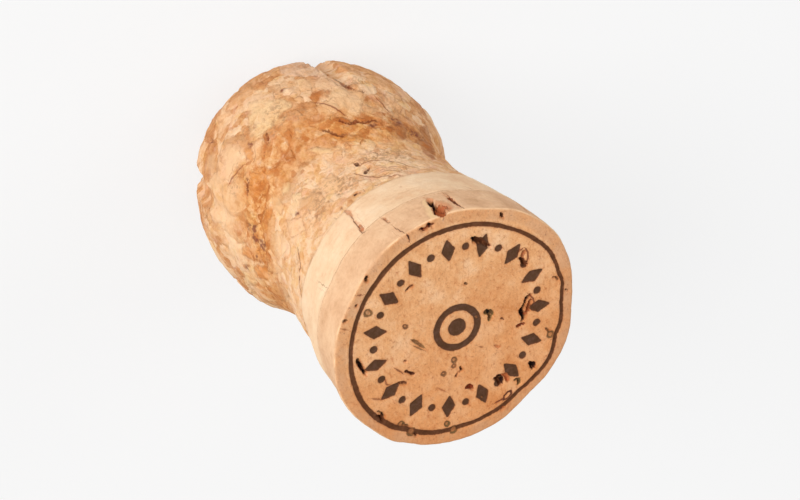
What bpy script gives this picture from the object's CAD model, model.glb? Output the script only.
"""A used sparkling-wine cork, standing on its flat crown with the branded foot face up.

The granulated body and the two natural-cork discs are turned in code from the outline of the solids,
dented, cracked and chipped, and then given their crumbly relief by one Geometry Nodes tree. The
materials read the same points and the same distances as the relief, so colour and shape agree.
Lengths are in millimetres until a mesh is made. A turn is in degrees about the cork's axis, and
"below" is a distance down from the foot face, along the axis. Colours are 8-bit screen colours.
"""
import itertools
import math

import bpy
import numpy as np
from mathutils import Matrix, Vector


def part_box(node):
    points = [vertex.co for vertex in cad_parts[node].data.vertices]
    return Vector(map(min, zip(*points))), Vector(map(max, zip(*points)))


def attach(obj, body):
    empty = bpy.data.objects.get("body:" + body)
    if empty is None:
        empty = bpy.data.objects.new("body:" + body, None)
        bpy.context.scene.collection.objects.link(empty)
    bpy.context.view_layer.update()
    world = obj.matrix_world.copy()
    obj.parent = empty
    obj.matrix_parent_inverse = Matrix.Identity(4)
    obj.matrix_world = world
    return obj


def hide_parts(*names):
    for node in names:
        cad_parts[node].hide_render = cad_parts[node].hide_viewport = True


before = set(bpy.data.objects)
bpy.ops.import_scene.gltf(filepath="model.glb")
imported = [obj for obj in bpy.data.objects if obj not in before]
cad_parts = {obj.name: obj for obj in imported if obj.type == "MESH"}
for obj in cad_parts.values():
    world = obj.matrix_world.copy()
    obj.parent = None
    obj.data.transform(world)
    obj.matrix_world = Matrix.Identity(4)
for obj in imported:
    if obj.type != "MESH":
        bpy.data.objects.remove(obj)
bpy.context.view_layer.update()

MM = 0.001

# ---------------------------------------------------------------- sizes of the solids
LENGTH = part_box("end_disc")[1].z / MM
END_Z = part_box("end_disc")[0].z / MM
INNER_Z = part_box("inner_disc")[0].z / MM
HEAD_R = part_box("granulated_body")[1].x / MM
HEAD_H = 11.5
CROWN_R = 9.0
WAIST_R = 13.05
WAIST_H = 26.0
FOOT_R = 15.35
RIM_ROUND = 0.4

# Wire marks: four dents of the cage's legs, as deep as in the solids.
WIRE_TURNS = (46, 136, 226, 316)
WIRE_R = 1.5
WIRE_DEPTH = 0.7
SHOULDER_DEPTH = 0.9
SHOULDER_H = 2.0
WIRE_TOP = 17.0
WIRE_FADE = 2.0
WIRE_SOFT = 0.35
WIRE_WANDER = 0.25

# Branding: the ring, the band of lozenges and dots, and the middle motif.
FOOT_AT = (-0.1, 0.3)
BRAND_AT = (-0.1, 0.3)
RING_AT = (0.0, 0.62)
RING_R = 13.525
RING_LINE_W = 0.55
MOTIF_LINE_W = 0.8
LOZENGES = 15
LOZENGE_L = 3.1
LOZENGE_W = 1.7
LOZENGE_ROUND = 0.12
BAND_R = 10.5
DOT_D = 0.9
MOTIF_R = 2.6
MOTIF_DOT_D = 2.2
BRAND_DEPTH = 0.12
BRAND_SLOPE = 0.16

# Mesh spacing. A cap is a flat glued face, which lies inside the cork.
BODY_TURNS = 520
INNER_TURNS = 520
END_TURNS = 560
SIDE_STEP = 0.26
DISC_STEP = 0.2
FACE_STEP = 0.13
CROWN_STEP = 0.6
SHOULDER_STEP = SIDE_STEP / HEAD_H * 1.05
RIM_STEP = math.pi / 12
CAP_RINGS = (0.0, 6.0, 11.5)
ON_FACE = 0.001

# How far from a seam the relief has its full depth, how near a crack of the side has to be to colour the
# face, and over what distance the ring's ink gives way to that of the motifs.
SEAM_FADE = 0.5
CRACK_NEAR = 0.4
INK_FADE = 0.5

# ---------------------------------------------------------------- wear, pores and cracks
# How far the foot's edge stands off a true circle: (turn, distance, half-width of the place in degrees).
FOOT_BUMPS = (
    (-65, -0.35, 12), (-95, 0.1, 12), (-20, 0.2, 14), (75, 0.2, 12), (95, -0.35, 9), (142, -0.35, 12),
    (178, 0.3, 14), (-142, -0.2, 10), (22, 0.28, 7), (38, 0.15, 8), (57, 0.32, 16), (100, 0.28, 9),
    (122, 0.18, 10), (-8, 0.14, 14), (-160, 0.14, 10),
)
# The same for the branded ring, which was stamped on uneven cork.
RING_BUMPS = (
    (-150, -0.17, 20), (-99, 0.12, 20), (-45, -0.11, 20), (-3, 0.2, 20), (24, -0.15, 4), (54, -0.13, 8),
    (75, -0.16, 20), (90, -0.22, 6), (111, 0.36, 8), (126, -0.16, 4), (144, -0.17, 6), (156, 0.17, 4),
    (174, 0.24, 11),
)
# How much thicker the ring's line is, as a share of its width.
RING_SWELL = (
    (10, 0.22, 30), (-95, 0.14, 18), (-50, -0.14, 12), (62, -0.08, 14), (150, -0.22, 26),
    (-165, -0.2, 16),
)
# Soft swellings and hollows of the side: (turn, height, half-width in degrees, half-height, how far out).
SIDE_SWELLS = (
    (-84, 3, 42, 3.8, 0.72), (-149, 3, 11, 3.8, 0.2), (157, 17.4, 17, 2.8, -0.62),
    (173, 21.6, 17, 2.6, -0.62), (-13, 43.2, 18, 2.8, -0.3), (-16, 35.4, 16, 2.4, -0.22),
    (8, 14.8, 12, 2.8, 0.22), (18, 19, 11, 2.6, -0.22),
)
# Pores in the foot face: (hue, depth, (x, y, half-width), ...). The hue goes from -1, olive, through 0,
# nearly black, to 1, rusty orange.
FACE_PORES = (
    (0, 1, (-8.2, -7.75, 0.08), (-8.4, -7.1, 0.38), (-8.65, -6.5, 0.42), (-8.85, -5.8, 0.2),
     (-9.1, -5, 0.05)),
    (0.5, 0.5, (-10.8, -1.45, 0.06), (-11.2, -1.65, 0.11), (-11.55, -1.55, 0.12)),
    (0.4, 0.5, (-11.9, -1.15, 0.1), (-11.8, -0.55, 0.12), (-11.45, 0, 0.12), (-11, 0.35, 0.1)),
    (0.85, 0.4, (-11.5, -0.95, 0.2), (-11.15, -0.65, 0.28), (-10.95, -0.3, 0.16)),
    (0.05, 0.8, (-10.65, -0.8, 0.08), (-10.7, -0.2, 0.24), (-10.65, 0.35, 0.26), (-10.9, 0.8, 0.08)),
    (0.8, 0.6, (-8.35, 5, 0.18), (-7.8, 5.4, 0.24), (-7.35, 5.9, 0.22), (-7, 6, 0.2), (-6.65, 6.2, 0.12)),
    (0.1, 0.9, (-8.7, 4.35, 0.1), (-8.2, 4.45, 0.26), (-7.7, 4.75, 0.16), (-7.25, 5.05, 0.22),
     (-6.75, 5.2, 0.28), (-6.55, 5.75, 0.22), (-6.4, 6.3, 0.2), (-6, 6.45, 0.14)),
    (0.3, 0.5, (-8.65, 4.4, 0.08), (-8.7, 5, 0.11), (-8.5, 5.5, 0.12), (-8.1, 5.7, 0.08)),
    (0.6, 0.7, (-6, 6.85, 0.12), (-5.6, 6.7, 0.24), (-5.2, 6.5, 0.16)),
    (-0.9, 0.5, (-3.65, 1.55, 0.26), (-3.95, 1.95, 0.36), (-3.9, 2.4, 0.36), (-3.45, 2.85, 0.22)),
    (-0.3, 0.7, (-3.95, 1.8, 0.13), (-3.85, 2.2, 0.16)),
    (-0.2, 0.3, (-2.5, 1.1, 0.13), (-2.5, 1.3, 0.1)),
    (0.1, 0.4, (-4.5, 3.95, 0.15), (-4.55, 4.2, 0.13)),
    (-0.3, 0.4, (-4.2, -3.6, 0.14), (-4.3, -3.4, 0.13)),
    (0.4, 0.4, (6.8, -1.45, 0.13), (6.8, -1.25, 0.14)),
    (-0.3, 0.4, (3.5, 10.6, 0.13), (3.45, 10.8, 0.1)),
    (0.1, 0.2, (-0.5, 4.8, 0.09), (-0.6, 5, 0.08)),
    (0.1, 0.2, (-9.6, -1.9, 0.08), (-9.7, -1.7, 0.08)),
    (0, 0.4, (-12.15, 7.6, 0.16), (-12.2, 7.8, 0.12)),
    (-0.2, 0.4, (-12.05, 4.8, 0.07), (-12.3, 5.3, 0.14), (-12.3, 5.75, 0.08)),
    (-0.4, 0.4, (-7.45, 9.8, 0.06), (-7.5, 10.3, 0.13), (-7.4, 10.6, 0.08)),
    (-0.5, 0.3, (-7.55, 11.2, 0.06), (-7.35, 11.9, 0.08)),
    (0.9, 0.2, (-1.8, 6.3, 0.14), (-2, 6.8, 0.18)),
    (0, 0.9, (-3.3, 12, 0.22), (-3.4, 12.45, 0.38), (-3.2, 12.9, 0.16)),
    (-0.8, 0.5, (-0.8, 12.3, 0.2), (-1.05, 12.65, 0.26), (-0.9, 13, 0.2), (-0.6, 13, 0.08)),
    (0.95, 0.5, (0.1, 10.2, 0.18), (-0.3, 10.8, 0.3), (-0.1, 11.5, 0.2)),
    (0, 1, (0.85, 9.95, 0.2), (0.5, 10.3, 0.46), (0.5, 10.8, 0.48), (0.8, 11.1, 0.24)),
    (0.1, 0.7, (1.5, 12.8, 0.1), (0.9, 12.75, 0.12), (0.5, 12.95, 0.12), (0.7, 13.4, 0.12),
     (1.4, 13.45, 0.11), (1.8, 13.25, 0.1), (1.5, 12.8, 0.08)),
    (0.4, 0.6, (2.65, 12.7, 0.1), (2.1, 12.9, 0.12), (1.75, 13, 0.1)),
    (0.7, 0.5, (2.85, 14.15, 0.14), (2.55, 14.1, 0.18)),
    (0, 0.5, (2.8, 5, 0.09), (2.9, 5.45, 0.13), (3.15, 5.45, 0.08)),
    (0.2, 0.4, (3.35, 5.35, 0.06), (3.75, 5.5, 0.13), (3.95, 5.55, 0.05)),
    (0.6, 0.7, (3.95, 7.9, 0.14), (3.6, 8.05, 0.28), (3.5, 8.5, 0.26), (3.55, 8.9, 0.08)),
    (0.9, 0.2, (6.3, 4.9, 0.03), (6.15, 5.4, 0.1), (6, 6, 0.05)),
    (-0.6, 0.3, (4.6, -3.1, 0.06), (4.4, -2.3, 0.17), (4.3, -1.4, 0.17), (4.1, -0.5, 0.06)),
    (-0.4, 0.3, (4.9, -2.2, 0.04), (4.7, -1.5, 0.1), (4.5, -0.9, 0.06)),
    (0.3, 0.4, (8.2, -1.7, 0.05), (8.1, -1.1, 0.12), (8, -0.45, 0.06)),
    (0.2, 0.6, (7.55, -0.2, 0.18), (7.4, 0.3, 0.14), (7.2, 0.9, 0.18)),
    (0.4, 0.4, (9.9, -1.5, 0.07), (10.2, -0.9, 0.1), (9.9, -0.4, 0.06)),
    (0.2, 0.5, (9.05, 0.35, 0.14), (8.75, 0.7, 0.2), (8.5, 1.15, 0.1)),
    (-0.8, 0.4, (13.05, 1.2, 0.1), (12.85, 1.9, 0.16)),
    (0, 1, (13.45, 1.7, 0.14), (13.2, 2.2, 0.38), (13.4, 2.75, 0.16)),
    (-0.5, 0.5, (12.2, 5.3, 0.07), (11.95, 5.75, 0.14), (11.75, 6.4, 0.08)),
    (0, 0.7, (11.95, 7.5, 0.1), (11.95, 7.95, 0.15)),
    (-0.8, 0.5, (10.5, -6.35, 0.16), (10.75, -5.9, 0.22)),
    (0, 0.9, (10.65, -5.9, 0.2), (10.8, -5.3, 0.24), (10.9, -4.7, 0.16), (11, -4.2, 0.16),
     (11.1, -3.8, 0.06)),
    (0.1, 0.8, (3.3, -14.6, 0.12), (3.4, -14.1, 0.26), (3.6, -13.6, 0.1)),
    (0.4, 0.6, (1.15, -8.75, 0.14), (0.7, -8.75, 0.22), (0.3, -8.7, 0.15)),
    (0.6, 0.6, (-4.75, -13.7, 0.14), (-4.95, -13.3, 0.18), (-5.5, -13.2, 0.16), (-6, -13, 0.18)),
    (0.1, 0.8, (-4.75, -13.75, 0.1), (-4.9, -13.4, 0.15)),
    (0.05, 0.9, (-5.85, -13.9, 0.05), (-5.7, -13.4, 0.15), (-5.9, -12.8, 0.12)),
    (0, 0.7, (-3.25, -14.7, 0.07), (-3.15, -14.2, 0.12), (-3, -13.8, 0.06)),
    (-0.3, 0.4, (8.4, -11.6, 0.2), (8.6, -11.9, 0.22)),
    (0.2, 0.2, (9.1, -10.9, 0.12), (9.2, -11.1, 0.08)),
    (0.3, 0.2, (9.1, -12.3, 0.14), (9.2, -12.1, 0.1)),
    (0, 0.4, (6.3, -12.1, 0.14), (6.4, -12.2, 0.1)),
    (0.2, 0.3, (5.2, -12.9, 0.12), (5.3, -13, 0.09)),
    (0.1, 0.6, (-12.55, -7.5, 0.06), (-12.45, -7.1, 0.2), (-12.35, -6.7, 0.08)),
    (0.3, 0.2, (12.4, -0.7, 0.12), (11.9, 0.1, 0.1)),
)
# Ring-shaped pores: (hue, depth, x, y, radius, half-width).
RING_PORES = (
    (-0.3, 0.4, 2.7, 3.55, 0.3, 0.11), (-0.2, 0.3, 3.25, 4.15, 0.24, 0.11),
    (-0.3, 0.35, 4.7, 3.95, 0.28, 0.12), (-0.5, 0.4, 6, -10.3, 0.42, 0.14),
    (-0.2, 0.4, 4.05, -5.1, 0.2, 0.12), (-0.6, 0.5, 12.25, 5, 0.34, 0.12),
    (-0.5, 0.5, 12.05, 6.9, 0.46, 0.14), (-0.6, 0.5, 8.5, 9.85, 0.3, 0.11),
    (-0.6, 0.5, 8.4, 11.2, 0.38, 0.13), (-0.5, 0.4, -7.35, 10.9, 0.4, 0.12),
)
# Cracks in the side: (hue, depth, (turn, below, half-width), ...).
SIDE_CRACKS = (
    (1, 0.4, (270.2, 5.6, 0.14), (269.9, 6.3, 0.26), (269.7, 7.3, 0.18), (269.9, 8.6, 0.1)),
    (0.1, 0.6, (269.5, 5.4, 0.04), (270.6, 5.5, 0.09), (271, 6, 0.1), (270.5, 7.4, 0.08),
     (270.2, 8.6, 0.09), (269.8, 9.6, 0.06), (269.4, 10.4, 0.02)),
    (0.9, 0.15, (269.4, 9.4, 0.12), (269.2, 10.6, 0.2), (269.2, 11.4, 0.24), (270.2, 12.4, 0.12)),
    (0.2, 0.2, (270, 12.7, 0.14), (270.6, 13.4, 0.16)),
    (0.7, 0.25, (259.9, 5.6, 0.18), (259.6, 5, 0.26), (259.5, 4.3, 0.14), (259.5, 3.8, 0.26),
     (259.4, 3.2, 0.14)),
    (0.1, 0.3, (260.4, 5.3, 0.05), (260, 4.8, 0.09), (259.9, 4.1, 0.04)),
    (0, 0.6, (259.3, 2.5, 0.03), (259, 1.6, 0.09), (258.6, 1, 0.11), (258, 0.4, 0.05)),
    (0.5, 0.2, (248.6, 3.4, 0.05), (248.4, 3, 0.16), (248.1, 2.6, 0.05)),
    (0.8, 0.2, (248.2, 2.1, 0.05), (247.8, 1.7, 0.14), (247.4, 1.4, 0.05)),
    (0.3, 0.15, (248.9, 5.4, 0.05), (248.5, 5, 0.14)),
    (0.4, 0.05, (242.9, 10.3, 0.1), (242.5, 9.7, 0.16)),
    (0.4, 0, (242.2, 9, 0.08), (241.9, 8.5, 0.15)),
    (0.2, 0.1, (215.2, 6.4, 0.03), (214.2, 5.9, 0.07), (213, 5.5, 0.04)),
    (0.75, 0.6, (231.3, 5.6, 0.04), (230.7, 4.4, 0.17), (230.3, 3.1, 0.3), (230.3, 1.7, 0.26),
     (229.9, 0.4, 0.08)),
    (0.1, 0.6, (230.2, 4.8, 0.03), (229.7, 3.6, 0.07), (229.6, 2.4, 0.11), (229.7, 1.2, 0.12),
     (229.3, 0.1, 0.06)),
    (0.2, 0.6, (191.5, 5.8, 0.06), (192.5, 4.8, 0.14), (194, 2.9, 0.22), (195, 1.7, 0.18),
     (196, 0.7, 0.06)),
    (-0.2, 0.5, (302.6, 8.2, 0.03), (301.8, 7, 0.12), (301, 5.8, 0.04)),
    (0.95, 1, (238.2, 2.7, 0.34), (238.4, 2.1, 0.6), (238.8, 1.4, 0.72), (239.6, 0.6, 0.62),
     (240, 0, 0.4)),
    (0.9, 0.5, (236.6, 2.6, 0.16), (235.9, 1.9, 0.3), (235.2, 1.1, 0.26), (234.4, 0.4, 0.1)),
    (0.2, 0.5, (237.6, 2.4, 0.05), (236.6, 1.5, 0.1), (236.2, 0.7, 0.05)),
    (0.5, 0.5, (240, 5.5, 0.06), (239.2, 5.2, 0.16), (238.6, 4.8, 0.14)),
    (0, 1.4, (238.4, 4.6, 0.12), (238.7, 3.8, 0.42), (239.2, 3, 0.44), (239.7, 2.1, 0.16)),
    (0.2, 1.3, (238.4, 1.3, 0.06), (238.6, 0.4, 0.18), (240.2, 0, 0.22), (241.8, 0.2, 0.2),
     (241.6, 0.9, 0.12), (240.9, 1.6, 0.05)),
    (0.1, 0.4, (302.4, 16.6, 0.04), (304, 15.8, 0.09), (307, 14.6, 0.06), (312, 14.2, 0.1),
     (318, 13.6, 0.09), (322, 12.6, 0.04)),
    (0.1, 0.5, (261, 13.5, 0.1), (260, 13.7, 0.17), (258, 13.3, 0.1), (254, 12.8, 0.04)),
    (0.2, 0.5, (248.2, 19.9, 0.05), (248.3, 19.2, 0.14), (248, 18.7, 0.04)),
    (0.2, 0.5, (248.2, 17, 0.14), (246.6, 17.2, 0.1), (244.4, 17.6, 0.05)),
    (0.3, 0.25, (253, 17.8, 0.04), (250, 16.2, 0.06), (247, 14.8, 0.08), (243.5, 14.1, 0.1),
     (240, 13.5, 0.06), (236, 12.7, 0.05), (232, 12.2, 0.03)),
    (0.2, 0.25, (248, 18.8, 0.03), (245, 18.8, 0.06), (242, 18.7, 0.06), (237, 18.1, 0.05),
     (233, 17.4, 0.06), (229, 15.9, 0.05), (225, 14.4, 0.03)),
    (0.3, 0.2, (244, 16.6, 0.03), (240, 16.2, 0.05), (235, 15.6, 0.05), (230, 14.6, 0.03)),
    (0.3, 0.2, (243, 15.4, 0.03), (239, 15, 0.05), (235, 14.4, 0.05), (231, 13.6, 0.03)),
    (0.5, 0.22, (230.5, 39.8, 0.05), (229, 38.4, 0.16), (228, 36.8, 0.1), (227.2, 35.2, 0.16),
     (226.2, 33.4, 0.26), (223.5, 32, 0.12), (218, 31.2, 0.05)),
    (0.4, 0.4, (272, 31.8, 0.1), (273.5, 31, 0.16), (275, 30.7, 0.08), (279, 30.2, 0.07),
     (281, 29.6, 0.03)),
    (0.4, 0.4, (294, 30.1, 0.06), (296, 29.6, 0.14), (299, 29.1, 0.1), (301, 28.8, 0.04)),
    (0.4, 0.3, (300.5, 32.4, 0.04), (297, 32.2, 0.09), (292, 31.8, 0.07), (289, 31.4, 0.03)),
    (0.5, 0.35, (244.5, 31.3, 0.04), (241, 30.4, 0.08), (238.5, 29.2, 0.12), (236.5, 28.2, 0.06)),
    (0.6, 0.45, (243, 27.8, 0.06), (240, 27.4, 0.18), (236.5, 26.6, 0.12), (233, 26.9, 0.2),
     (228.5, 26.3, 0.14), (224.5, 26.6, 0.2), (221, 26.4, 0.05)),
    (0.5, 0.4, (251, 27.6, 0.05), (248.5, 26.8, 0.16), (246, 25.7, 0.12), (243.5, 25.3, 0.16),
     (240, 25.2, 0.04)),
    (0.5, 0.35, (216, 30.6, 0.04), (214, 29.4, 0.12), (212.6, 28, 0.06)),
)
# Big flakes that show their own outline: (tint, (turn, below), ...). A later one lies over an earlier one.
FLAKES = (
    ("pink", (242, 44.8), (236, 44.5), (231, 43.3), (232, 37.9), (235, 36.3), (243, 37.7), (248, 40.3)),
    ("tan", (274, 41.9), (269, 42.9), (262, 43.5), (261, 39.7), (267, 39.8), (271, 39.7)),
    ("cream", (268, 38.5), (262, 36.8), (254, 33.7), (255, 32.6), (262, 32.3), (260, 31.4), (264, 31.3),
     (269, 31.7), (276, 32.3), (278, 33.4)),
    ("peach", (279, 42.7), (276, 39.4), (280, 38.9), (289, 38.3), (290, 38.9), (284, 41)),
    ("tan", (287, 37.6), (279, 34.4), (282, 33.4), (287, 35.1), (291, 37.2)),
    ("peach", (292, 37), (288, 35.9), (284, 34.2), (284, 33.1), (290, 32.4), (300, 32.7), (303, 33.2),
     (304, 34.6), (302, 35.7), (298, 36.1)),
    ("tan", (293, 32.6), (290, 31.9), (290, 30.7), (294, 31.1), (295, 32)),
    ("peach", (278, 32.5), (274, 31.7), (278, 30.5), (282, 29.7), (286, 29.6), (287, 30.2)),
    ("orange", (284, 32.9), (281, 32), (285, 30.8), (286, 31.9)),
    ("orange", (286, 29.7), (282, 27.9), (279, 27.2), (283, 26.9), (292, 27.2), (294, 28.9)),
    ("ochre", (283, 27.6), (279, 27.2), (280, 26.6), (283, 27.1)),
    ("ochre", (266, 29.8), (263, 30), (261, 29.4), (265, 28.5), (268, 27.8), (268, 28.6)),
    ("ochre", (266, 27.2), (262, 27), (266, 26.4), (268, 26.9)),
    ("peach", (261, 29.4), (258, 28.8), (262, 27.6), (263, 28.4)),
    ("peach", (239, 35.1), (234, 36.4), (231, 34.3), (228, 32.5), (233, 32.6), (239, 32.7), (242, 33.6)),
    ("tan", (224, 29.3), (218, 28.4), (220, 27.5), (226, 27.5)),
    ("buff", (236, 32.4), (232, 32.7), (228, 32.2), (222, 31.5), (221, 30.9), (224, 29.8), (226, 29.2),
     (229, 27.7), (233, 26.8), (237, 27.5), (242, 28.2), (244, 27.7), (246, 28.1), (246, 29.4), (245, 31),
     (241, 31)),
    ("ochre", (242, 28.2), (236, 27.4), (233, 26.7), (236, 26.1), (240, 26.2), (243, 27.2)),
    ("orange", (255, 26.3), (251, 26.5), (248, 25.4), (248, 23.7), (244, 23.8), (240, 23.4), (237, 24.2),
     (241, 25.3), (244, 25.8)),
    ("cream", (264, 26.1), (258, 25.4), (254, 24.3), (248, 23.8), (249, 23.1), (255, 23.5), (259, 24.1)),
    ("ochre", (232, 27.1), (226, 27), (228, 25.8), (230, 26.3)),
    ("brown", (206, 23.1), (196, 26.5), (187, 28.6), (184, 27), (192, 23), (204, 18.2), (209, 17.4),
     (205, 21)),
    ("tan", (216, 27.5), (205, 28.9), (209, 26.4), (218, 25.3)),
    ("tan", (206, 25.9), (198, 26.6), (196, 25.5), (206, 22.8), (210, 23.5)),
    ("brown", (220, 24.9), (210, 26.3), (204, 26.4), (210, 23.5), (216, 22.4), (219, 23.6)),
    ("ochre", (223, 27.1), (219, 27.8), (216, 27.5), (221, 25.3), (224, 25.5)),
    ("peach", (203, 31.9), (207, 32.1), (212, 30.8), (212, 29.4), (206, 30.2)),
    ("ochre", (246, 32.8), (240, 33), (236, 32.6), (239, 31.4), (242, 31.9), (244, 31.3)),
    ("buff", (303, 33.4), (300, 32.2), (296, 31.6), (294, 30.3), (302, 28.7), (311, 28.9), (314, 31),
     (312, 32.2)),
    ("peach", (310, 33.7), (314, 32.4), (319, 31.8), (324, 33.8), (321, 35.8), (314, 34.8)),
    ("cream", (308, 28.5), (304, 26.8), (310, 26), (315, 27.8)),
    ("cream", (284, 23), (280, 21.7), (283, 20.4), (288, 21.1)),
    ("orange", (290, 30.2), (287, 28.2), (290, 27.3), (299, 27.1), (298, 28.8)),
    ("peach", (286, 27.6), (281, 26.6), (285, 25.8), (288, 26.6)),
    ("orange", (300, 25.6), (296, 24.6), (302, 24.2), (306, 25.4)),
    ("buff", (321, 29.3), (318, 27.9), (325, 27.5), (326, 29.4)),
    ("orange", (326, 28.4), (321, 25.1), (326, 24.6), (332, 26.3), (331, 28.6)),
    ("ochre", (325, 25.1), (322, 24), (328, 24.1), (331, 25.6)),
    ("orange", (334, 26.6), (330, 23.7), (340, 24.5), (343, 27.4)),
    ("peach", (323, 23.5), (320, 21.5), (323, 20.1), (330, 21.8), (332, 23.8)),
    ("tan", (342, 24.3), (332, 20.4), (334, 18.1), (354, 23.5), (351, 25.7)),
    ("cream", (344, 29.7), (340, 27.2), (349, 27.8), (354, 30.7)),
    ("buff", (291, 25.5), (290, 24.3), (293, 22.6), (297, 22.9), (296, 24.6)),
    ("cream", (284, 25.3), (280, 24.2), (284, 23.3), (288, 24.1)),
    ("tan", (284, 21.3), (275, 19.9), (272, 18.8), (274, 17.2), (281, 17.4), (286, 19.9)),
    ("peach", (297, 21.5), (289, 18.9), (292, 16.9), (301, 18.9)),
    ("buff", (270, 20.2), (262, 20.3), (259, 17.5), (265, 16.5), (271, 17.6)),
    ("rust", (237, 3.4), (234.5, 3), (232.5, 1.6), (233.5, 0.6), (236, 0.2), (238, 0.6)),
    ("cream", (239.5, 4.3), (241, 4.6), (243.5, 2.6), (245.5, 0.2), (242.5, 0), (241.5, 1.2)),
)
# Coloured places on the side, by kind: (turn, below, radius).
STAINS = {
    "bark": (
        (312.5, 26.3, 0.55), (316, 26, 0.75), (318, 24.5, 0.75), (314, 27.4, 0.45), (338, 28.2, 0.45),
        (327, 25.8, 0.4), (289, 20, 0.35), (301, 23.2, 0.3), (294, 29.8, 0.45), (253, 36.1, 0.4),
        (293, 40, 0.4), (280, 32.6, 0.5), (226.5, 33.3, 0.5), (211, 26.2, 0.9), (203, 25, 1),
        (226, 25.6, 0.6),
    ),
    "rust": (
        (242, 32.3, 0.9), (246, 32.8, 0.7), (211, 26.4, 1.6), (197, 23.2, 1.6), (228, 26.6, 1.5),
        (240, 27.4, 1.6), (262, 27.4, 1.5), (274, 27, 1.6), (284, 28.6, 1.5), (294, 27, 1.8),
        (303, 26.4, 1.5), (318, 28.5, 1.4), (316, 24.4, 1.6), (327, 26.6, 1.3), (219, 30.2, 1.2),
        (336, 21.5, 1.5),
    ),
    "grey": (
        (262, 33.5, 1.8), (268, 31.6, 1.8), (277, 34.2, 1.5), (255, 30.8, 1.4), (222, 34, 1.3),
        (270, 18.5, 2.2), (280, 17.2, 2), (262, 17, 2), (301, 31.2, 1), (236, 19.4, 1.8),
        (225, 18.6, 1.8), (300, 12.2, 0.8),
    ),
    "pale": (
        (235, 30.6, 1.9), (230, 29.6, 1.7), (262, 38.4, 1.8), (290, 34, 1.8), (306, 35.6, 2),
        (316, 31.8, 1.8), (301, 37.6, 1.6), (287, 21.4, 1.2), (252, 38, 1.6), (244, 35.6, 1.6),
        (310, 21.2, 1.6), (326, 31.5, 1.8),
    ),
}
# The border between neck and head, and the stained band along it, dip on the sides away from a turn. The
# dip starts "from" degrees off that turn and is full "over" degrees further on.
NECK_END = 23.8
NECK_TURN = 264.0
NECK_DIP = 5.0
NECK_DIP_FROM = 36.0
NECK_DIP_OVER = 45.0
NECK_FADE = 2.0
BAND_BELOW = 28.2
BAND_HALF = 3.3
BAND_TURN = 274.0
BAND_DIP = 4.1
BAND_DIP_FROM = 8.0
BAND_DIP_OVER = 50.0
BAND_NEAR = 0.80
BAND_FAR = 1.00

# How wide the soft edges of the stains (a share of the radius) and of the flakes are, and how near a
# flake's edge counts.
STAIN_FADE = 0.8
FLAKE_FADE = 0.3
FLAKE_NEAR = 0.4

FLAKE_TINTS = {
    "cream": (243, 203, 152), "peach": (245, 198, 153), "buff": (238, 187, 136), "pink": (230, 188, 154),
    "tan": (218, 163, 113), "orange": (228, 154, 86), "ochre": (204, 126, 64), "brown": (168, 100, 52),
    "rust": (210, 146, 104),
}


def shade(red, green, blue):
    """Linear colour of an 8-bit screen colour."""
    channels = [c / 255.0 for c in (red, green, blue)]
    return tuple(c / 12.92 if c <= 0.04045 else ((c + 0.055) / 1.055) ** 2.4 for c in channels) + (1.0,)


# ---------------------------------------------------------------- the cork's outline
def ease(t):
    """Smooth step from 0 to 1."""
    t = np.clip(t, 0.0, 1.0)
    return t * t * (3.0 - 2.0 * t)


def blend(a, b, t):
    """From a to b, eased at both ends."""
    return a + (b - a) * ease(t)


def cork_radius(z):
    """Radius of the cork at height z: a round shoulder, then curves in to the waist and out to the foot."""
    z = np.asarray(z, float)
    shoulder = CROWN_R + (HEAD_R - CROWN_R) * np.sqrt(np.clip(1.0 - (1.0 - z / HEAD_H) ** 2, 0.0, 1.0))
    upper = blend(HEAD_R, WAIST_R, (z - HEAD_H) / (WAIST_H - HEAD_H))
    foot = blend(WAIST_R, FOOT_R, (z - WAIST_H) / (LENGTH - WAIST_H))
    return np.where(z < HEAD_H, shoulder, np.where(z < WAIST_H, upper, foot))


def turn_of(points):
    """Turn of each point about the cork's axis."""
    return np.degrees(np.arctan2(points[:, 1], points[:, 0]))


def turn_between(turn, centre):
    """How far a turn is from another one, from -180 to 180 degrees."""
    return (turn - centre + 180.0) % 360.0 - 180.0


def scaled_across(points, scale):
    """Points moved away from the cork's axis or towards it, each at its own height."""
    return points * np.stack([scale, scale, np.ones_like(scale)], axis=1)


def spaced(start, end, step):
    """Numbers from start up or down to end, about a step apart."""
    return np.linspace(start, end, int(round(abs(end - start) / step)) + 1)


def bumps_at(turn, bumps):
    """Sum of bell-shaped bumps round the cork at each turn."""
    total = np.zeros_like(turn)
    for centre, size, width in bumps:
        total += size * np.exp(-(turn_between(turn, centre) / width) ** 2)
    return total


def noise(points, size, seed):
    """Smooth random field from -1 to 1, whose lumps are about a size across."""
    count = 32
    lattice = np.random.default_rng(seed).uniform(-1.0, 1.0, (count, count, count))
    at = points / size
    low = np.floor(at).astype(int)
    part = ease(at - low)
    total = np.zeros(len(points))
    for corner in itertools.product((0, 1), repeat=3):
        weight = np.prod(np.where(corner, part, 1.0 - part), axis=1)
        cell = (low + corner) % count
        total += weight * lattice[cell[:, 0], cell[:, 1], cell[:, 2]]
    return total


# ---------------------------------------------------------------- distances to marks
def on_side(turn, below):
    """Point of the cork's side at a turn and a distance below the foot face."""
    z = LENGTH - below
    radius = float(cork_radius(min(z, LENGTH)))
    return np.array([radius * math.cos(math.radians(turn)), radius * math.sin(math.radians(turn)), z])


def from_stretch(points, a, b):
    """The way to each point from the nearest place between a and b, and how far along that place is."""
    along = b - a
    share = np.clip((points - a) @ along / (along @ along), 0.0, 1.0)
    return points - a - share[:, None] * along, share


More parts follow.
